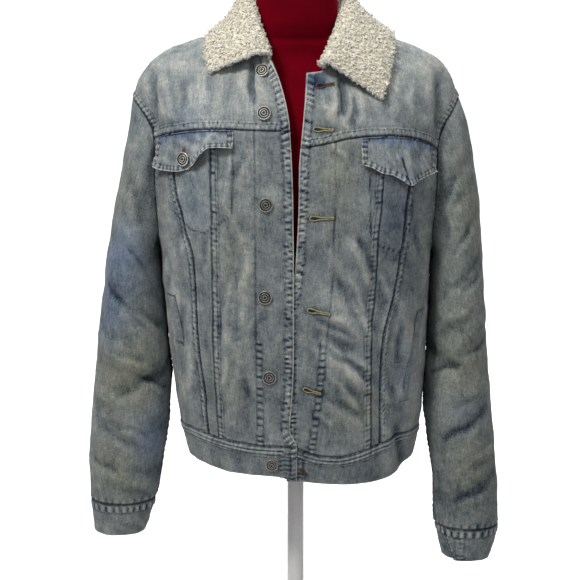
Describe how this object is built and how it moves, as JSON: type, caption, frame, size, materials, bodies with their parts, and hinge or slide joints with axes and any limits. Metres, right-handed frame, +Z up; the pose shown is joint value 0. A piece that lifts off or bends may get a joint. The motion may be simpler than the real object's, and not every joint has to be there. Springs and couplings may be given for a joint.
{
  "type": "sherpa lined jacket on a dress form",
  "caption": "Open denim trucker jacket with a cream pile collar, hanging on a limbless dress form with a round stand.",
  "frame": {"origin": "on the floor under the stand's pole", "axes": "+Z up, the wearer faces -Y, the wearer's right side is -X"},
  "size_m": [0.6248, 0.2897, 1.006],
  "materials": {
    "denim": "light stone washed denim, worn at the seams",
    "flap_denim": "less faded denim with frayed edges",
    "sherpa": "cream curly pile",
    "button_metal": "antique silver",
    "velvet": "dark red stretch cover",
    "stand": "white paint"
  },
  "bodies": {
    "root": {"front_yoke_R": "denim", "front_yoke_L": "denim", "front_center_R": "denim", "front_center_L": "denim", "front_panel_R": "denim", "front_panel_L": "denim", "front_side_R": "denim", "front_side_L": "denim", "back_yoke": "denim", "back_center": "denim", "back_side_R": "denim", "back_side_L": "denim", "sleeve_top_R": "denim", "sleeve_top_L": "denim", "sleeve_under_R": "denim", "sleeve_under_L": "denim", "cuff_R": "denim", "cuff_L": "denim", "waistband": "denim", "collar_under": "denim", "welt_R": "denim", "welt_L": "denim", "flap_R": "flap_denim", "flap_L": "flap_denim", "collar_top": "sherpa", "button_1": "button_metal", "button_2": "button_metal", "button_3": "button_metal", "button_4": "button_metal", "button_5": "button_metal", "button_waist": "button_metal", "button_flap_R": "button_metal", "form_torso": "velvet", "form_pole": "stand", "form_base": "stand"}
  },
  "joints": []
}
